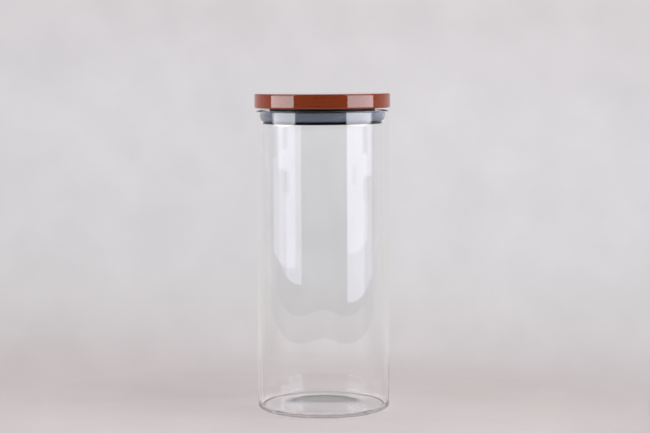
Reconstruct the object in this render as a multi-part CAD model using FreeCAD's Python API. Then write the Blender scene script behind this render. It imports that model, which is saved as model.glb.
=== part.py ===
import FreeCAD, Part
import math
import os

from FreeCAD import Vector

# Straight-sided glass storage jar with a push-in lid and a finned seal ring.
# Millimetres. The jar stands on the plane z = 0 and its axis is the z axis.

# Glass body: one blown piece with a fire-polished rim
JAR_DIAMETER = 100.0
WALL = 2.5
RIM_HEIGHT = 226.0
FLOOR_THICKNESS = 2.6
HEEL_RADIUS = 3.0
FLOOR_CORNER_RADIUS = 3.0
STANDING_RING_WIDTH = 11.0
PUNT_RISE = 1.4
FLOOR_RISE = 0.2

# Lid: a turned disc with a plug below it, in one piece
LID_OVERHANG = 1.2
LID_THICKNESS = 10.8
LID_GAP = 1.7
LID_TOP_EDGE_RADIUS = 1.2
LID_BOTTOM_EDGE_RADIUS = 1.0
PLUG_RADIUS = 38.0
PLUG_LENGTH = 11.4
PLUG_EDGE_RADIUS = 1.0

# Seal ring: a sleeve on the plug, a rib in its groove, a flared fin and a lower lip
SEAL_LENGTH = 11.7
SLEEVE_WALL = 1.7
SEAT_CLEARANCE = 0.05
RIB_HEIGHT = 3.0
RIB_DEPTH = 1.5
RIB_TO_LID = 3.6
RIB_EDGE_RADIUS = 0.4
FIN_CLEARANCE = 0.2
FIN_THICKNESS = 1.3
FIN_TIP_THICKNESS = 0.9
FIN_HEIGHT = 7.2
FIN_BEND_RADIUS = 4.5
LIP_THICKNESS = 0.9
LIP_INSET = 2.6
NOTCH_HEIGHT = 0.5
SOFT_EDGE_RADIUS = 0.3

# Levels and radii that follow from the sizes above
JAR_RADIUS = JAR_DIAMETER / 2
BORE_RADIUS = JAR_RADIUS - WALL
LID_RADIUS = JAR_RADIUS + LID_OVERHANG
LID_UNDERSIDE = RIM_HEIGHT + LID_GAP
GROOVE_TOP = LID_UNDERSIDE - RIB_TO_LID + SEAT_CLEARANCE
GROOVE_BOTTOM = LID_UNDERSIDE - RIB_TO_LID - RIB_HEIGHT - SEAT_CLEARANCE
GROOVE_RADIUS = PLUG_RADIUS - RIB_DEPTH
SEAL_BOTTOM = LID_UNDERSIDE - SEAL_LENGTH


def at(radius, height):
    """A point of a section, drawn in the plane y = 0."""
    return Vector(radius, 0, height)


def straight(start, end):
    return Part.LineSegment(start, end).toShape()


def smooth_rise(start, end):
    """A curve between two points that leaves and arrives level."""
    level = Vector(end.x - start.x, 0, 0) / 3
    curve = Part.BezierCurve()
    curve.setPoles([start, start + level, end - level, end])
    return curve.toShape()


def fillet_arc(before, corner, after, radius):
    """The arc of the given radius that rounds one corner of an outline."""
    to_before = (before - corner).normalize()
    to_after = (after - corner).normalize()
    half_angle = to_before.getAngle(to_after) / 2
    setback = radius / math.tan(half_angle)
    inward = (to_before + to_after).normalize()
    centre = corner + inward * (radius / math.sin(half_angle))
    return Part.Arc(corner + to_before * setback, centre - inward * radius, corner + to_after * setback)


def rounded_outline(corners):
    """A closed outline through (radius, height, rounding) corners."""
    points = [at(radius, height) for radius, height, rounding in corners]
    arcs = []
    for index, (_, _, rounding) in enumerate(corners):
        before = points[index - 1]
        after = points[(index + 1) % len(points)]
        arcs.append(fillet_arc(before, points[index], after, rounding) if rounding else None)
    edges = []
    for index, arc in enumerate(arcs):
        following = (index + 1) % len(arcs)
        if arc:
            edges.append(arc.toShape())
        start = arc.EndPoint if arc else points[index]
        end = arcs[following].StartPoint if arcs[following] else points[following]
        if start.distanceToPoint(end) > Part.Precision.confusion():
            edges.append(straight(start, end))
    return edges


def turned(edges):
    """The solid that an outline sweeps round the jar's axis."""
    section = Part.Face(Part.Wire(Part.sortEdges(edges)[0]))
    solid = section.revolve(Vector(0, 0, 0), Vector(0, 0, 1), 360)
    return solid if solid.Volume > 0 else solid.reversed()


def glass_body():
    ring_outer = at(JAR_RADIUS - HEEL_RADIUS, 0)
    ring_inner = at(JAR_RADIUS - HEEL_RADIUS - STANDING_RING_WIDTH, 0)
    punt_centre = at(0, PUNT_RISE)
    heel_top = at(JAR_RADIUS, HEEL_RADIUS)
    heel_middle = at(
        JAR_RADIUS - HEEL_RADIUS * (1 - math.cos(math.pi / 4)),
        HEEL_RADIUS * (1 - math.cos(math.pi / 4)),
    )
    rim_radius = WALL / 2
    rim_outer = at(JAR_RADIUS, RIM_HEIGHT - rim_radius)
    rim_top = at(JAR_RADIUS - rim_radius, RIM_HEIGHT)
    rim_inner = at(BORE_RADIUS, RIM_HEIGHT - rim_radius)
    corner_top = at(BORE_RADIUS, FLOOR_THICKNESS + FLOOR_CORNER_RADIUS)
    corner_middle = at(
        BORE_RADIUS - FLOOR_CORNER_RADIUS * (1 - math.cos(math.pi / 4)),
        FLOOR_THICKNESS + FLOOR_CORNER_RADIUS * (1 - math.cos(math.pi / 4)),
    )
    corner_end = at(BORE_RADIUS - FLOOR_CORNER_RADIUS, FLOOR_THICKNESS)
    floor_centre = at(0, FLOOR_THICKNESS + FLOOR_RISE)
    return turned([
        smooth_rise(punt_centre, ring_inner),
        straight(ring_inner, ring_outer),
        Part.Arc(ring_outer, heel_middle, heel_top).toShape(),
        straight(heel_top, rim_outer),
        Part.Arc(rim_outer, rim_top, rim_inner).toShape(),
        straight(rim_inner, corner_top),
        Part.Arc(corner_top, corner_middle, corner_end).toShape(),
        smooth_rise(corner_end, floor_centre),
        straight(floor_centre, punt_centre),
    ])


def lid():
    top = LID_UNDERSIDE + LID_THICKNESS
    plug_end = LID_UNDERSIDE - PLUG_LENGTH
    return turned(rounded_outline([
        (0, top, 0),
        (LID_RADIUS, top, LID_TOP_EDGE_RADIUS),
        (LID_RADIUS, LID_UNDERSIDE, LID_BOTTOM_EDGE_RADIUS),
        (PLUG_RADIUS, LID_UNDERSIDE, 0),
        (PLUG_RADIUS, GROOVE_TOP, 0),
        (GROOVE_RADIUS, GROOVE_TOP, RIB_EDGE_RADIUS),
        (GROOVE_RADIUS, GROOVE_BOTTOM, RIB_EDGE_RADIUS),
        (PLUG_RADIUS, GROOVE_BOTTOM, 0),
        (PLUG_RADIUS, plug_end, PLUG_EDGE_RADIUS),
        (0, plug_end, 0),
    ]))


def seal_ring():
    sleeve_inner = PLUG_RADIUS + SEAT_CLEARANCE
    sleeve_outer = sleeve_inner + SLEEVE_WALL
    rib_inner = GROOVE_RADIUS + SEAT_CLEARANCE
    rib_top = GROOVE_TOP - SEAT_CLEARANCE
    rib_bottom = GROOVE_BOTTOM + SEAT_CLEARANCE
    lip_outer = BORE_RADIUS - LIP_INSET
    lip_top = SEAL_BOTTOM + LIP_THICKNESS
    fin_outer = BORE_RADIUS - FIN_CLEARANCE
    fin_bottom = lip_top + NOTCH_HEIGHT
    fin_root_top = fin_bottom + FIN_THICKNESS
    fin_tip = fin_bottom + FIN_HEIGHT
    return turned(rounded_outline([
        (sleeve_inner, SEAL_BOTTOM, SOFT_EDGE_RADIUS),
        (lip_outer, SEAL_BOTTOM, SOFT_EDGE_RADIUS),
        (lip_outer, lip_top, SOFT_EDGE_RADIUS),
        (sleeve_outer, lip_top, NOTCH_HEIGHT / 2),
        (sleeve_outer, fin_bottom, NOTCH_HEIGHT / 2),
        (fin_outer, fin_bottom, FIN_BEND_RADIUS),
        (fin_outer, fin_tip, SOFT_EDGE_RADIUS),
        (fin_outer - FIN_TIP_THICKNESS, fin_tip, SOFT_EDGE_RADIUS),
        (fin_outer - FIN_THICKNESS, fin_root_top, FIN_BEND_RADIUS - FIN_THICKNESS),
        (sleeve_outer, fin_root_top, SOFT_EDGE_RADIUS),
        (sleeve_outer, LID_UNDERSIDE, 0),
        (sleeve_inner, LID_UNDERSIDE, 0),
        (sleeve_inner, rib_top, 0),
        (rib_inner, rib_top, RIB_EDGE_RADIUS),
        (rib_inner, rib_bottom, RIB_EDGE_RADIUS),
        (sleeve_inner, rib_bottom, 0),
    ]))


os.makedirs("parts", exist_ok=True)
for name, shape in {"glass_body": glass_body(), "lid": lid(), "seal_ring": seal_ring()}.items():
    shape.exportStep(f"parts/{name}.step")
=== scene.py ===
import math

import bpy
from mathutils import Matrix, Vector


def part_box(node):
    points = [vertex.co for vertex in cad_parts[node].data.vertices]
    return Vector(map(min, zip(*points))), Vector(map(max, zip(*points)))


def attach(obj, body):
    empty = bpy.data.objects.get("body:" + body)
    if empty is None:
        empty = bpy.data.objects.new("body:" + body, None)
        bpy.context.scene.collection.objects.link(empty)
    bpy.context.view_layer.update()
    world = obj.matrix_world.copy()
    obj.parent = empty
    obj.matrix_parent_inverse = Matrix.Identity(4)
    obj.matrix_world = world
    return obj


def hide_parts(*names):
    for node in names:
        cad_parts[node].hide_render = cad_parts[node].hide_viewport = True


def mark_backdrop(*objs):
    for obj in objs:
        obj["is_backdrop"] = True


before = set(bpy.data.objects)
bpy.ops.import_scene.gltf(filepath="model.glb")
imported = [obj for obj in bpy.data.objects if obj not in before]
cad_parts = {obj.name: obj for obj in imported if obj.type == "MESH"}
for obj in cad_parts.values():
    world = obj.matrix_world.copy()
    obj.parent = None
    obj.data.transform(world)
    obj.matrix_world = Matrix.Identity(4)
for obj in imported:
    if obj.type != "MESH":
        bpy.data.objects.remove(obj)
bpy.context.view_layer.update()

MM = 0.001

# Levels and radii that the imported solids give, in metres
_, JAR_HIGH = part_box("glass_body")
LID_LOW, LID_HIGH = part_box("lid")
SEAL_LOW, SEAL_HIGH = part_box("seal_ring")
JAR_RADIUS = JAR_HIGH.x
RIM_HEIGHT = JAR_HIGH.z
LID_RADIUS = LID_HIGH.x
LID_TOP = LID_HIGH.z
PLUG_END = LID_LOW.z
LID_UNDERSIDE = SEAL_HIGH.z
SEAL_BOTTOM = SEAL_LOW.z
FIN_RADIUS = SEAL_HIGH.x

# Sizes inside those boxes, the same as in the part's source
WALL = 2.5 * MM
FLOOR_THICKNESS = 2.6 * MM
HEEL_RADIUS = 3.0 * MM
FLOOR_CORNER_RADIUS = 3.0 * MM
STANDING_RING_WIDTH = 11.0 * MM
PUNT_RISE = 1.4 * MM
FLOOR_RISE = 0.2 * MM
BORE_RADIUS = JAR_RADIUS - WALL

LID_TOP_EDGE_RADIUS = 1.2 * MM
LID_BOTTOM_EDGE_RADIUS = 1.0 * MM
PLUG_RADIUS = 38.0 * MM
PLUG_EDGE_RADIUS = 1.0 * MM
RIB_TO_LID = 3.6 * MM
RIB_HEIGHT = 3.0 * MM
RIB_DEPTH = 1.5 * MM
RIB_EDGE_RADIUS = 0.4 * MM
SEAT_CLEARANCE = 0.05 * MM

SLEEVE_WALL = 1.7 * MM
FIN_THICKNESS = 1.3 * MM
FIN_TIP_THICKNESS = 0.9 * MM
FIN_HEIGHT = 7.2 * MM
FIN_BEND_RADIUS = 4.5 * MM
LIP_THICKNESS = 0.9 * MM
LIP_INSET = 2.6 * MM
NOTCH_HEIGHT = 0.5 * MM
SOFT_EDGE_RADIUS = 0.3 * MM

# Fineness of the turned meshes
LATHE_SEGMENTS = 512
ARC_STEP = math.radians(7.5)
CURVE_STEPS = 24
ON_AXIS = 1e-7

# Straight runs of a section are held flat next to turns sharper than those of a smooth curve
SUPPORT_REACH = 0.15 * MM
SHORTEST_HELD_RUN = 0.9 * MM
SMOOTH_TURN = math.radians(2.0)

# The photographer's view, fitted to the jar's proportions in the picture
CAMERA_DISTANCE = 1.283
CAMERA_HEIGHT = 0.2566
CAMERA_SIDE = 0.0016
CAMERA_PITCH = 4.953
CAMERA_ROLL = -0.3
CAMERA_LENS = 94.15
SENSOR_WIDTH = 36.0

# Light that is trapped in the glass leaves it only after many bounces
LIGHT_BOUNCES = 64

# Clear glass with the faint waves of blown glass
GLASS_COLOUR = (0.995, 1.0, 0.998, 1.0)
GLASS_IOR = 1.47
GLASS_WAVE_STRETCH = (1.0, 1.0, 0.35)
GLASS_WAVE_SCALE = 28.0
GLASS_WAVE_DEPTH = 0.12 * MM
GLASS_SHADOW = (0.985, 0.985, 0.985, 1.0)

# Lacquered wood: growth rings round a pith below the lid, fibres and pores along the x axis
PITH = (0.0, 0.03, LID_TOP - 0.16)
RING_WAVES = {"Scale": 110.0, "Distortion": 2.5, "Detail": 2.0, "Detail Scale": 40.0}
WOOD_STAIN = ((0.0, (0.205, 0.0365, 0.0135)), (1.0, (0.220, 0.0405, 0.0150)))
FIBRE_STRETCH = (0.06, 1.0, 1.0)
FIBRE_SCALE = 1500.0
FIBRE_SHADES = ((0.3, 0.95), (0.7, 1.0))
PORE_STRETCH = (0.6, 1.0, 1.0)
PORE_SCALE = 1400.0
PORE_SHADES = ((0.20, 0.40), (0.25, 1.0))
LACQUER_IOR = 1.5
LACQUER_WAVE_SCALE = 90.0
LACQUER_WAVE_DEPTH = 0.05 * MM

# Dark slate silicone on the fin's outward face. Painted shade, near black, on the neck under the lid, the
# fin's root and bend, the faces that turn away, and the lower lip
SILICONE_TONES_WITH_PAINTED_SHADE = ((0.0, (0.003, 0.003, 0.005)), (1.0, (0.148, 0.168, 0.216)))
SILICONE_IOR = 1.43
FIN_SHADE_RISE = 1.6 * MM
FIN_SHADE_RADII = (42.0 * MM, 44.0 * MM)
FIN_SHADE_FACING = 0.4
GRAIN_SCALE = 900.0
GRAIN_SHADES = ((0.3, 0.88), (0.7, 1.0))
GRAIN_DEPTH = 0.02 * MM

# Soft boxes: their upright edges in degrees from the camera's side, and the rest in metres
LEFT_BOX = {"near": 48.0, "far": 94.0, "distance": 0.95, "low_near": 0.006, "low_far": 0.026}
RIGHT_BOX = {"near": 42.0, "far": 93.5, "distance": 0.85, "low_near": -0.025, "low_far": 0.008}
BOX_TOP = 1.1

# Their light on matt surfaces, and the room's soft light there from the front and the back
LEFT_LAMP_RADIANCE = 4.0
RIGHT_LAMP_RADIANCE = 3.65
LOWEST_LAMP_EDGE = 0.02
SOFT_LIGHT_FRONT = 0.15
SOFT_LIGHT_BACK = 0.58

# How bright the boxes look in gloss and glass, and the factor for what those throw on matt surfaces
LEFT_BOX_GLOW = 1.25
RIGHT_BOX_GLOW = 2.1
BOX_TINT = (0.95, 0.95, 1.12)
NO_TINT = (1.0, 1.0, 1.0)
THROWN_SHARE = 1.2

# Farther cards: a band of (height, strength) steps that lid and seal mirror, and a tall part above it
FARTHER_DISTANCE = 2.0
LEFT_HOT_GLOW = (
    (0.1545, 0.0), (0.157, 4.4), (0.170, 3.9), (0.176, 3.9), (0.182, 5.3), (0.225, 5.3), (0.229, 0.0),
)
RIGHT_HOT_GLOW = (
    (0.1545, 0.0), (0.157, 3.8), (0.170, 3.2), (0.176, 3.2), (0.182, 4.6), (0.225, 4.6), (0.229, 0.0),
)
TALL_LOW = 0.42
TALL_GLOW = 2.2

# Dim fittings in front of the boxes: (near edge, far edge, low, high), in degrees and metres
LEFT_FITTINGS = ((58.0, 68.5, 0.109, 0.136), (86.0, 96.0, 0.153, 0.188))
RIGHT_FITTINGS = (
    (73.0, 87.0, 0.107, 0.133), (71.5, 82.5, 0.159, 0.191), (75.5, 97.0, -0.020, 0.136),
)
FITTING_SHARE_OF_DISTANCE = 0.85
FITTING_LEVEL = 0.05
FITTING_COVER = 0.45

# The paper's edge: (degrees from the camera's side, metres from the jar), the same left and right
PAPER_EDGE = (
    (0, 0.431), (18, 0.415), (27, 0.397), (44, 0.390), (64, 0.404), (78, 0.449),
    (92, 0.513), (101, 0.590), (105, 0.745), (109, 1.050), (125, 1.40), (180, 1.50),
)
PAPER_DROP = 0.05 * MM

# Its tones by depth, which hold painted shade in a darker band by the jar and painted light that makes up
# for the lamps' fall-off farther back, its fibres and streaks, and the distances over which it gives way to
# the backdrop
PAPER_TONES_WITH_LIGHT_AND_SHADE = (
    (-0.100, (0.612, 0.574, 0.580)), (-0.026, (0.600, 0.555, 0.556)), (0.048, (0.572, 0.527, 0.527)),
    (0.122, (0.577, 0.535, 0.532)), (0.196, (0.617, 0.588, 0.589)), (0.270, (0.667, 0.647, 0.650)),
)
PAPER_DETAIL = 4.0
PAPER_FIBRE_SCALE = 260.0
PAPER_FIBRE_SHADES = ((0.3, 0.985), (0.7, 1.0))
PAPER_STREAK_STRETCH = (0.4, 1.0, 1.0)
PAPER_STREAK_SCALE = 32.0
PAPER_STREAK_SHADES = ((0.35, (0.980, 0.960, 0.958)), (0.65, 1.0))
PAPER_FADE = (0.13, 0.27)

# How bright it looks in reflections, and how much brighter on the camera's side, by distance and depth
PAPER_GLOW = 1.05
FRONT_GLOW = 0.6
FRONT_GLOW_DISTANCES = (0.15, 0.36)
FRONT_GLOW_DEPTHS = (-0.10, 0.0)

# The backdrop's tones by the height of the look, with painted shade in the dark band where the sweep turns
# up from the floor, its tilt, and how unevenly it is lit from left to right
BACKDROP_TONES_WITH_SHADE = (
    (-0.2110, (0.668, 0.618, 0.628)), (-0.1865, (0.562, 0.503, 0.508)), (-0.1620, (0.614, 0.578, 0.589)),
    (-0.1375, (0.652, 0.630, 0.642)), (-0.1130, (0.669, 0.647, 0.667)), (-0.0885, (0.684, 0.663, 0.684)),
    (-0.0640, (0.693, 0.672, 0.693)), (-0.0395, (0.700, 0.679, 0.700)), (-0.0150, (0.696, 0.672, 0.696)),
    (0.0095, (0.687, 0.661, 0.682)), (0.0340, (0.669, 0.642, 0.658)),
)
BACKDROP_TILT = 0.05
BACKDROP_ACROSS = ((-0.18, 0.936), (-0.09, 0.954), (0.0, 0.963), (0.09, 1.0), (0.18, 0.945))
CLOUD_SCALE = 30.0
CLOUD_DETAIL = 5.0
CLOUD_NOISE = (0.25, 0.75)
CLOUD_LEVELS = (0.991, 1.085)

# The faint tint of the studio's greys
GREY_TINT = (1.012, 0.978, 1.0)

# The studio that reflections see: its sides by how far behind the jar, its front and dimming by height
ROOM_SIDES = ((0.12, 0.34), (0.45, 0.53), (0.60, 0.57), (0.63, 0.68))
ROOM_FRONT = (
    (-0.160, (0.24, 0.225, 0.215)), (-0.139, (0.17, 0.18, 0.175)), (-0.120, (0.20, 0.23, 0.23)),
    (-0.112, (0.27, 0.30, 0.30)), (-0.104, (0.14, 0.17, 0.165)), (-0.074, (0.13, 0.16, 0.155)),
    (-0.060, (0.23, 0.27, 0.26)), (-0.036, (0.38, 0.42, 0.41)), (-0.0325, (0.01, 0.015, 0.015)),
)
FRONT_TO_SIDES = (-0.5, 0.1)
ROOM_DIMMING = ((0.03, 1.0), (0.15, 0.74), (0.60, 0.5))

# Keeps the division by the level part of a look from failing straight up and down
LEAST_LEVEL_PART = 0.001


def link(piece):
    bpy.context.scene.collection.objects.link(piece)
    return piece


def arc_points(centre, radius, start, end):
    """Points on an arc from one angle to another, both in radians."""
    count = max(2, round(abs(end - start) / ARC_STEP))
    angles = [start + (end - start) * step / count for step in range(count + 1)]
    return [(centre[0] + radius * math.cos(a), centre[1] + radius * math.sin(a)) for a in angles]


def level_curve(start, end):
    """A curve between two points that leaves and arrives level, the ends included."""
    points = []
    for step in range(CURVE_STEPS + 1):
        t = step / CURVE_STEPS
        share = t * t * (3 - 2 * t)
        points.append((start[0] + (end[0] - start[0]) * t, start[1] + (end[1] - start[1]) * share))
    return points


def rounded_outline(corners):
    """Points of an outline given by (radius, height, rounding) corners."""
    points = []
    for index, (radius, height, rounding) in enumerate(corners):
        corner = Vector((radius, height))
        if not rounding:
            points.append(tuple(corner))
            continue
        before = Vector(corners[index - 1][:2]) - corner
        after = Vector(corners[(index + 1) % len(corners)][:2]) - corner
        before.normalize()
        after.normalize()
        half_angle = before.angle(after) / 2
        centre = corner + (before + after).normalized() * (rounding / math.sin(half_angle))
        first = corner + before * (rounding / math.tan(half_angle)) - centre
        last = corner + after * (rounding / math.tan(half_angle)) - centre
        start = math.atan2(first.y, first.x)
        turn = math.atan2(first.x * last.y - first.y * last.x, first.dot(last))
        points += arc_points(centre, rounding, start, start + turn)
    return points


def turn_at(points, index):
    """How sharply an outline turns at one of its points, in radians."""
    here = Vector(points[index])
    arriving = here - Vector(points[index - 1])
    leaving = Vector(points[(index + 1) % len(points)]) - here
    return arriving.angle(leaving)


def supported(points, closed):
    """The outline with more points by the turns at the ends of long straight runs, which hold them flat."""
    out = []
    count = len(points)
    for index, start in enumerate(points):
        out.append(start)
        if index == count - 1 and not closed:
            break
        following = (index + 1) % count
        end = points[following]
        length = math.dist(start, end)
        if length < SHORTEST_HELD_RUN:
            continue
        shares = []
        if turn_at(points, index) > SMOOTH_TURN:
            shares.append(SUPPORT_REACH / length)
        if turn_at(points, following) > SMOOTH_TURN:
            shares.append(1 - SUPPORT_REACH / length)
        for share in shares:
            out.append(tuple(a + (b - a) * share for a, b in zip(start, end)))
    return out


def turned_rings(outline):
    """The vertices of an outline turned round the jar's axis, and their numbers ring by ring."""
    vertices = []
    rings = []
    for radius, height in outline:
        if radius < ON_AXIS:
            rings.append([len(vertices)] * LATHE_SEGMENTS)
            vertices.append((0.0, 0.0, height))
            continue
        rings.append(list(range(len(vertices), len(vertices) + LATHE_SEGMENTS)))
        for step in range(LATHE_SEGMENTS):
            angle = math.tau * step / LATHE_SEGMENTS
            vertices.append((radius * math.cos(angle), radius * math.sin(angle), height))
    return vertices, rings


def ring_faces(rings, closed):
    """The faces between one ring and the next, triangles where a ring is a point on the axis."""
    faces = []
    pairs = list(zip(rings, rings[1:] + rings[:1])) if closed else list(zip(rings, rings[1:]))
    for lower, upper in pairs:
        for step in range(LATHE_SEGMENTS):
            following = (step + 1) % LATHE_SEGMENTS
            corners = (lower[step], lower[following], upper[following], upper[step])
            face = [c for i, c in enumerate(corners) if c != corners[i - 1]]
            if len(face) > 2:
                faces.append(face)
    return faces


def lathe(name, outline, closed):
    """A mesh turned round the jar's axis. An open outline starts and ends on the axis."""
    vertices, rings = turned_rings(supported(outline, closed))
    mesh = bpy.data.meshes.new(name)
    mesh.from_pydata(vertices, [], ring_faces(rings, closed))
    mesh.shade_smooth()
    return link(bpy.data.objects.new(name, mesh))


class Nodes:
    """Short calls for building one node tree."""

    def __init__(self, tree, output):
        self.tree = tree
        self.tree.nodes.clear()
        self.output = self.add(output)

    def add(self, kind, inputs=None, **settings):
        node = self.tree.nodes.new(kind)
        for key, value in settings.items():
            setattr(node, key, value)
        for key, value in (inputs or {}).items():
            if isinstance(value, bpy.types.NodeSocket):
                self.tree.links.new(value, node.inputs[key])
            else:
                node.inputs[key].default_value = value
        return node

    def place(self):
        return self.add("ShaderNodeTexCoord").outputs["Object"]

    def axis(self, vector, name):
        return self.add("ShaderNodeSeparateXYZ", {0: vector}).outputs[name]

    def math(self, operation, first, second=0.0):
        return self.add("ShaderNodeMath", {0: first, 1: second}, operation=operation).outputs[0]

    def vector(self, operation, *inputs, output="Vector"):
        node = self.add("ShaderNodeVectorMath", dict(enumerate(inputs)), operation=operation)
        return node.outputs[output]

    def spread(self, value, low, high, first=0.0, last=1.0, kind="LINEAR"):
        """The value's place between two others, from 0 to 1 or from the first to the last value."""
        ends = {"Value": value, "From Min": low, "From Max": high, "To Min": first, "To Max": last}
        return self.add("ShaderNodeMapRange", ends, interpolation_type=kind).outputs[0]

    def ramp(self, factor, stops, smooth=False):
        """A colour ramp through (place, grey or colour) stops."""
        node = self.add("ShaderNodeValToRGB", {"Fac": factor})
        node.color_ramp.interpolation = "B_SPLINE" if smooth else "LINEAR"
        elements = node.color_ramp.elements
        while len(elements) < len(stops):
            elements.new(0.5)
        for element, (place, value) in zip(elements, stops):
            element.position = place
            element.color = (*value, 1.0) if isinstance(value, tuple) else (value, value, value, 1.0)
        return node.outputs["Color"]

    def scale(self, value, stops, smooth=False):
        """A colour ramp through (value, grey or colour) stops in the value's own units."""
        low, high = stops[0][0], stops[-1][0]
        places = [((place - low) / (high - low), colour) for place, colour in stops]
        return self.ramp(self.spread(value, low, high), places, smooth)

    def noise(self, place, scale, detail=2.0):
        inputs = {"Vector": place, "Scale": scale, "Detail": detail}
        return self.add("ShaderNodeTexNoise", inputs).outputs["Fac"]

    def bump(self, height, depth):
        return self.add("ShaderNodeBump", {"Height": height, "Distance": depth, "Strength": 1.0}).outputs[0]

    def mix(self, factor, first, second, blend="MIX"):
        inputs = {0: factor, 6: first, 7: second}
        return self.add("ShaderNodeMix", inputs, data_type="RGBA", blend_type=blend).outputs[2]

    def times(self, colour, factor):
        return self.mix(1.0, colour, factor, "MULTIPLY")

    def mix_shaders(self, factor, first, second):
        return self.add("ShaderNodeMixShader", {0: factor, 1: first.outputs[0], 2: second.outputs[0]})

    def after(self, bounce):
        """0 before the first glossy or diffuse bounce of a light path, and 1 after it."""
        depth = self.add("ShaderNodeLightPath").outputs[bounce + " Depth"]
        return self.math("MINIMUM", depth, 1.0)

    def bounced(self):
        """0 for what is seen straight or through glass, 1 for reflections and for soft light."""
        return self.math("MAXIMUM", self.after("Glossy"), self.after("Diffuse"))

    def mirrored(self):
        """0 for a straight look, 1 for reflections, and the thrown share for light on matt surfaces."""
        return self.spread(self.after("Diffuse"), 0.0, 1.0, self.after("Glossy"), THROWN_SHARE)

    def finish(self, shader):
        self.tree.links.new(shader.outputs[0], self.output.inputs["Surface"])


def material_nodes(name):
    material = bpy.data.materials.new(name)
    material.use_nodes = True
    return material, Nodes(material.node_tree, "ShaderNodeOutputMaterial")


def dress(piece, material):
    piece.data.materials.clear()
    piece.data.materials.append(material)
    return piece


def glass_material():
    material, n = material_nodes("clear_glass")
    waves = n.noise(n.vector("MULTIPLY", n.place(), GLASS_WAVE_STRETCH), GLASS_WAVE_SCALE, detail=1.0)
    glass = n.add("ShaderNodeBsdfPrincipled", {
        "Base Color": GLASS_COLOUR,
        "Roughness": 0.0,
        "IOR": GLASS_IOR,
        "Transmission Weight": 1.0,
        "Normal": n.bump(waves, GLASS_WAVE_DEPTH),
    })
    clear = n.add("ShaderNodeBsdfTransparent", {"Color": GLASS_SHADOW})
    to_lamp = n.add("ShaderNodeLightPath").outputs["Is Shadow Ray"]
    n.finish(n.mix_shaders(to_lamp, glass, clear))
    return material


def lacquer_material():
    material, n = material_nodes("lacquered_wood")
    place = n.place()
    from_pith = n.vector("SUBTRACT", place, PITH)
    rings = n.add(
        "ShaderNodeTexWave", {"Vector": from_pith, **RING_WAVES}, wave_type="RINGS", rings_direction="X",
    ).outputs["Fac"]
    fibres = n.noise(n.vector("MULTIPLY", place, FIBRE_STRETCH), FIBRE_SCALE)
    pores = n.noise(n.vector("MULTIPLY", place, PORE_STRETCH), PORE_SCALE, detail=0.0)
    stain = n.ramp(rings, WOOD_STAIN)
    stain = n.times(stain, n.ramp(fibres, FIBRE_SHADES))
    stain = n.times(stain, n.ramp(pores, PORE_SHADES))
    n.finish(n.add("ShaderNodeBsdfPrincipled", {
        "Base Color": stain,
        "Roughness": 0.5,
        "Specular IOR Level": 0.0,
        "Coat Weight": 1.0,
        "Coat Roughness": 0.01,
        "Coat IOR": LACQUER_IOR,
        "Coat Normal": n.bump(n.noise(place, LACQUER_WAVE_SCALE), LACQUER_WAVE_DEPTH),
    }))
    return material


def fin_out_of_painted_shade(n, place):
    """1 on the outward face of the seal's fin, 0 on its root, the neck and the lower lip, which take
    painted shade.
    """
    fin_low = SEAL_BOTTOM + LIP_THICKNESS + NOTCH_HEIGHT
    # Painted shade that darkens the fin as it curves under towards the notch
    lifted = n.spread(n.axis(place, "Z"), fin_low, fin_low + FIN_SHADE_RISE)
    around = n.vector("MULTIPLY", place, (1.0, 1.0, 0.0))
    normal = n.add("ShaderNodeNewGeometry").outputs["Normal"]
    facing = n.vector("DOT_PRODUCT", normal, n.vector("NORMALIZE", around), output="Value")
    radius = n.vector("LENGTH", around, output="Value")
    outside = n.spread(radius, *FIN_SHADE_RADII)
    outward = n.math("MULTIPLY", outside, n.spread(facing, 0.0, FIN_SHADE_FACING))
    return n.math("MULTIPLY", lifted, outward)


def silicone_material():
    material, n = material_nodes("silicone")
    place = n.place()
    grain = n.noise(place, GRAIN_SCALE)
    # Painted shade: near black everywhere except the fin's outward face
    colour = n.ramp(fin_out_of_painted_shade(n, place), SILICONE_TONES_WITH_PAINTED_SHADE)
    n.finish(n.add("ShaderNodeBsdfPrincipled", {
        "Base Color": n.times(colour, n.ramp(grain, GRAIN_SHADES)),
        "Roughness": 0.5,
        "IOR": SILICONE_IOR,
        "Normal": n.bump(grain, GRAIN_DEPTH),
    }))
    return material


def make_glass():
    heel = arc_points((JAR_RADIUS - HEEL_RADIUS, HEEL_RADIUS), HEEL_RADIUS, -math.pi / 2, 0)
    rim = arc_points((JAR_RADIUS - WALL / 2, RIM_HEIGHT - WALL / 2), WALL / 2, 0, math.pi)
    corner_centre = (BORE_RADIUS - FLOOR_CORNER_RADIUS, FLOOR_THICKNESS + FLOOR_CORNER_RADIUS)
    corner = arc_points(corner_centre, FLOOR_CORNER_RADIUS, 0, -math.pi / 2)
    ring_inner = (JAR_RADIUS - HEEL_RADIUS - STANDING_RING_WIDTH, 0.0)
    punt = level_curve((0.0, PUNT_RISE), ring_inner)
    floor = level_curve(corner[-1], (0.0, FLOOR_THICKNESS + FLOOR_RISE))
    piece = lathe("glass_body_shell", punt + heel + rim + corner + floor[1:], closed=False)
    dress(piece, glass_material())
    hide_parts("glass_body")
    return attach(piece, "jar")


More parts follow.
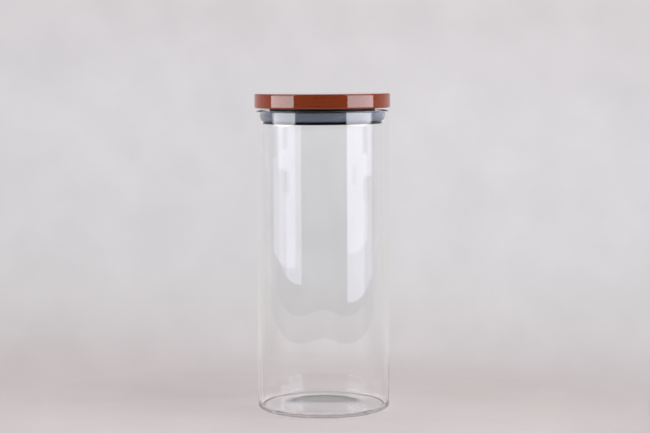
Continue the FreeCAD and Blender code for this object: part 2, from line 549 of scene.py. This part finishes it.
def make_lid():
    groove_top = LID_UNDERSIDE - RIB_TO_LID + SEAT_CLEARANCE
    groove_bottom = LID_UNDERSIDE - RIB_TO_LID - RIB_HEIGHT - SEAT_CLEARANCE
    groove_radius = PLUG_RADIUS - RIB_DEPTH
    piece = lathe("lid_disc", rounded_outline([
        (0, PLUG_END, 0),
        (PLUG_RADIUS, PLUG_END, PLUG_EDGE_RADIUS),
        (PLUG_RADIUS, groove_bottom, 0),
        (groove_radius, groove_bottom, RIB_EDGE_RADIUS),
        (groove_radius, groove_top, RIB_EDGE_RADIUS),
        (PLUG_RADIUS, groove_top, 0),
        (PLUG_RADIUS, LID_UNDERSIDE, 0),
        (LID_RADIUS, LID_UNDERSIDE, LID_BOTTOM_EDGE_RADIUS),
        (LID_RADIUS, LID_TOP, LID_TOP_EDGE_RADIUS),
        (0, LID_TOP, 0),
    ]), closed=False)
    dress(piece, lacquer_material())
    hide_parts("lid")
    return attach(piece, "closure")


def make_seal():
    sleeve_inner = PLUG_RADIUS + SEAT_CLEARANCE
    sleeve_outer = sleeve_inner + SLEEVE_WALL
    rib_inner = PLUG_RADIUS - RIB_DEPTH + SEAT_CLEARANCE
    rib_top = LID_UNDERSIDE - RIB_TO_LID
    rib_bottom = rib_top - RIB_HEIGHT
    lip_outer = BORE_RADIUS - LIP_INSET
    lip_top = SEAL_BOTTOM + LIP_THICKNESS
    fin_bottom = lip_top + NOTCH_HEIGHT
    fin_root_top = fin_bottom + FIN_THICKNESS
    fin_tip = fin_bottom + FIN_HEIGHT
    piece = lathe("seal_ring_moulding", rounded_outline([
        (sleeve_inner, SEAL_BOTTOM, SOFT_EDGE_RADIUS),
        (lip_outer, SEAL_BOTTOM, SOFT_EDGE_RADIUS),
        (lip_outer, lip_top, SOFT_EDGE_RADIUS),
        (sleeve_outer, lip_top, NOTCH_HEIGHT / 2),
        (sleeve_outer, fin_bottom, NOTCH_HEIGHT / 2),
        (FIN_RADIUS, fin_bottom, FIN_BEND_RADIUS),
        (FIN_RADIUS, fin_tip, SOFT_EDGE_RADIUS),
        (FIN_RADIUS - FIN_TIP_THICKNESS, fin_tip, SOFT_EDGE_RADIUS),
        (FIN_RADIUS - FIN_THICKNESS, fin_root_top, FIN_BEND_RADIUS - FIN_THICKNESS),
        (sleeve_outer, fin_root_top, SOFT_EDGE_RADIUS),
        (sleeve_outer, LID_UNDERSIDE, 0),
        (sleeve_inner, LID_UNDERSIDE, 0),
        (sleeve_inner, rib_top, 0),
        (rib_inner, rib_top, RIB_EDGE_RADIUS),
        (rib_inner, rib_bottom, RIB_EDGE_RADIUS),
        (sleeve_inner, rib_bottom, 0),
    ]), closed=True)
    dress(piece, silicone_material())
    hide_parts("seal_ring")
    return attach(piece, "closure")


def direction(degrees):
    """The level direction that is so many degrees from the camera's side, turning to the right."""
    angle = math.radians(degrees)
    return Vector((math.sin(angle), -math.cos(angle), 0.0))


def paper_colour(n, place, depth):
    # Painted light and shade of the studio, by depth
    colour = n.scale(depth, PAPER_TONES_WITH_LIGHT_AND_SHADE, smooth=True)
    fibres = n.noise(place, PAPER_FIBRE_SCALE, PAPER_DETAIL)
    colour = n.times(colour, n.ramp(fibres, PAPER_FIBRE_SHADES))
    along = n.vector("MULTIPLY", place, PAPER_STREAK_STRETCH)
    streaks = n.noise(along, PAPER_STREAK_SCALE, PAPER_DETAIL)
    return n.times(colour, n.ramp(streaks, PAPER_STREAK_SHADES))


def paper_material():
    """Pale paper. Away from the jar it gives way speck by speck to the backdrop, but not in reflections."""
    material, n = material_nodes("paper")
    place = n.place()
    depth = n.axis(place, "Y")
    distance = n.vector("LENGTH", place, output="Value")
    colour = paper_colour(n, place, depth)
    lit = n.add("ShaderNodeBsdfDiffuse", {"Color": colour})
    in_front = n.spread(depth, *FRONT_GLOW_DEPTHS, 1.0, 0.0)
    front_glow = n.math("MULTIPLY", n.spread(distance, *FRONT_GLOW_DISTANCES, 0.0, FRONT_GLOW), in_front)
    strength = n.math("ADD", PAPER_GLOW, front_glow)
    glowing = n.add("ShaderNodeEmission", {"Color": colour, "Strength": strength})
    paper = n.mix_shaders(n.after("Glossy"), lit, glowing)
    share = n.spread(distance, *PAPER_FADE, 1.0, 0.0, "SMOOTHSTEP")
    speckle = n.add("ShaderNodeTexWhiteNoise", {"Vector": place}).outputs["Value"]
    shown = n.math("MAXIMUM", n.math("LESS_THAN", speckle, share), n.bounced())
    n.finish(n.mix_shaders(shown, n.add("ShaderNodeBsdfTransparent"), paper))
    return material


def make_paper():
    edge = [direction(angle) * distance for angle, distance in PAPER_EDGE]
    edge += [Vector((-p.x, p.y, 0.0)) for p in reversed(edge[1:-1])]
    vertices = [(0.0, 0.0, 0.0)] + [tuple(p) for p in edge]
    faces = [(0, 1 + step, 1 + (step + 1) % len(edge)) for step in range(len(edge))]
    mesh = bpy.data.meshes.new("paper")
    mesh.from_pydata(vertices, [], faces)
    paper = link(bpy.data.objects.new("paper", mesh))
    paper.location.z = -PAPER_DROP
    dress(paper, paper_material())
    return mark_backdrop(paper)


def tinted(level):
    """A grey with the studio's faint tint."""
    return tuple(level * share for share in GREY_TINT)


def backdrop_colour(n, look, up):
    """The backdrop as it is seen straight and through glass, by the direction of the look."""
    across = n.axis(look, "X")
    tilted = n.math("ADD", up, n.math("MULTIPLY", across, BACKDROP_TILT))
    # Tones by height, with the painted shade of the sweep's dark band
    colour = n.scale(tilted, BACKDROP_TONES_WITH_SHADE, smooth=True)
    clouds = n.noise(look, CLOUD_SCALE, CLOUD_DETAIL)
    colour = n.times(colour, n.spread(clouds, *CLOUD_NOISE, *CLOUD_LEVELS))
    return n.times(colour, n.scale(across, BACKDROP_ACROSS, smooth=True))


def room_colour(n, up, behind):
    """The studio as reflections see it: the backdrop behind and at the sides, a dim room in front."""
    sides = n.scale(behind, [(place, tinted(level)) for place, level in ROOM_SIDES])
    front = n.scale(up, ROOM_FRONT)
    colour = n.mix(n.spread(behind, *FRONT_TO_SIDES), front, sides)
    return n.times(colour, n.scale(up, ROOM_DIMMING))


def make_world():
    """A pale backdrop to the eye, a studio to reflections, and a plain soft light to matt surfaces."""
    world = bpy.data.worlds.new("studio")
    bpy.context.scene.world = world
    world.use_nodes = True
    n = Nodes(world.node_tree, "ShaderNodeOutputWorld")
    look = n.add("ShaderNodeTexCoord").outputs["Generated"]
    up = n.axis(look, "Z")
    level_part = n.math("SQRT", n.math("SUBTRACT", 1.0, n.math("MULTIPLY", up, up)))
    behind = n.math("DIVIDE", n.axis(look, "Y"), n.math("MAXIMUM", level_part, LEAST_LEVEL_PART))
    seen = n.mix(n.bounced(), backdrop_colour(n, look, up), room_colour(n, up, behind))
    soft_light = n.scale(behind, ((-1.0, tinted(SOFT_LIGHT_FRONT)), (1.0, tinted(SOFT_LIGHT_BACK))))
    colour = n.mix(n.after("Diffuse"), seen, soft_light)
    n.finish(n.add("ShaderNodeBackground", {"Color": colour, "Strength": 1.0}))


def box_corners(side, box):
    """The plan points of a soft box's two upright edges. The side is -1 for left and 1 for right."""
    near = direction(side * box["near"]) * box["distance"]
    far = direction(side * box["far"]) * box["distance"]
    return near, far


def glow_card(name, near, far, low, high):
    """An upright stage card between two plan points. Only gloss and glass see it."""
    bottom = [(near.x, near.y, low[0]), (far.x, far.y, low[1])]
    top = [(far.x, far.y, high), (near.x, near.y, high)]
    mesh = bpy.data.meshes.new(name)
    mesh.from_pydata(bottom + top, [], [(0, 1, 2, 3)])
    card = link(bpy.data.objects.new(name, mesh))
    card.visible_camera = False
    card.visible_diffuse = False
    card.visible_shadow = False
    return card


def stepped_strength(n, steps):
    """The strength at a height, from (height, strength) steps."""
    brightest = max(level for _, level in steps)
    shares = [(height, level / brightest) for height, level in steps]
    return n.math("MULTIPLY", n.scale(n.axis(n.place(), "Z"), shares), brightest)


def glow_material(name, glow, tint=NO_TINT):
    """Light that is added to what lies behind. The glow is one strength, or (height, strength) steps."""
    material, n = material_nodes(name)
    level = stepped_strength(n, glow) if isinstance(glow, tuple) else glow
    strength = n.math("MULTIPLY", n.mirrored(), level)
    face = n.add("ShaderNodeEmission", {"Color": (*tint, 1.0), "Strength": strength})
    clear = n.add("ShaderNodeBsdfTransparent")
    n.finish(n.add("ShaderNodeAddShader", {0: face.outputs[0], 1: clear.outputs[0]}))
    return material


def make_box_glow(name, side, box, glow, hot_glow):
    """The lit face of a soft box as gloss and glass reflect it, and its brighter parts farther out."""
    near, far = box_corners(side, box)
    face = glow_card(name, near, far, (box["low_near"], box["low_far"]), BOX_TOP)
    dress(face, glow_material(name, glow, BOX_TINT))
    farther = FARTHER_DISTANCE / box["distance"]
    ends = (near * farther, far * farther)
    low, high = hot_glow[0][0], hot_glow[-1][0]
    hot = glow_card(name + "_upper", *ends, (low, low), high)
    dress(hot, glow_material(name + "_upper", hot_glow))
    tall = glow_card(name + "_tall", *ends, (TALL_LOW, TALL_LOW), BOX_TOP * farther)
    dress(tall, glow_material(name + "_tall", TALL_GLOW))


def fitting_material(name):
    """A dim grey that covers a part of what lies behind."""
    material, n = material_nodes(name)
    clear = n.add("ShaderNodeBsdfTransparent")
    dim = n.add("ShaderNodeEmission", {"Color": (*tinted(FITTING_LEVEL), 1.0)})
    n.finish(n.mix_shaders(n.math("MULTIPLY", n.mirrored(), FITTING_COVER), clear, dim))
    return material


def make_box_fittings(name, side, box, fittings):
    """Dim fittings in front of a soft box, which dent its reflection in the glass."""
    distance = box["distance"] * FITTING_SHARE_OF_DISTANCE
    for index, (near, far, low, high) in enumerate(fittings):
        ends = [direction(side * angle) * distance for angle in (near, far)]
        fitting = glow_card(f"{name}_{index}", *ends, (low, low), high)
        dress(fitting, fitting_material(fitting.name))


def make_lamp(name, side, box, radiance):
    """The light of the same soft box on matt surfaces."""
    near, far = box_corners(side, box)
    middle = (near + far) / 2
    low = max(LOWEST_LAMP_EDGE, (box["low_near"] + box["low_far"]) / 2)
    light = bpy.data.lights.new(name, "AREA")
    light.shape = "RECTANGLE"
    light.size = (near - far).length
    light.size_y = BOX_TOP - low
    light.energy = radiance * math.pi * light.size * light.size_y
    lamp = link(bpy.data.objects.new(name, light))
    lamp.location = (middle.x, middle.y, (BOX_TOP + low) / 2)
    lamp.rotation_euler = Vector((-middle.x, -middle.y, 0)).to_track_quat("-Z", "Y").to_euler()
    lamp.visible_camera = False
    lamp.visible_glossy = False
    lamp.visible_transmission = False
    return lamp


def make_camera():
    camera_data = bpy.data.cameras.new("camera")
    camera_data.lens = CAMERA_LENS
    camera_data.sensor_width = SENSOR_WIDTH
    camera = link(bpy.data.objects.new("camera", camera_data))
    place = Matrix.Translation((CAMERA_SIDE, -CAMERA_DISTANCE, CAMERA_HEIGHT))
    tilt = Matrix.Rotation(math.radians(90 - CAMERA_PITCH), 4, "X")
    roll = Matrix.Rotation(math.radians(CAMERA_ROLL), 4, "Z")
    camera.matrix_world = place @ tilt @ roll
    bpy.context.scene.camera = camera


make_camera()
make_glass()
make_lid()
make_seal()
make_paper()
make_world()
make_box_glow("softbox_left", -1, LEFT_BOX, LEFT_BOX_GLOW, LEFT_HOT_GLOW)
make_box_glow("softbox_right", 1, RIGHT_BOX, RIGHT_BOX_GLOW, RIGHT_HOT_GLOW)
make_box_fittings("fitting_left", -1, LEFT_BOX, LEFT_FITTINGS)
make_box_fittings("fitting_right", 1, RIGHT_BOX, RIGHT_FITTINGS)
make_lamp("lamp_left", -1, LEFT_BOX, LEFT_LAMP_RADIANCE)
make_lamp("lamp_right", 1, RIGHT_BOX, RIGHT_LAMP_RADIANCE)
bpy.context.scene.view_settings.view_transform = "Standard"
bpy.context.scene.cycles.max_bounces = LIGHT_BOUNCES
bpy.context.scene.cycles.glossy_bounces = LIGHT_BOUNCES
bpy.context.scene.cycles.transmission_bounces = LIGHT_BOUNCES
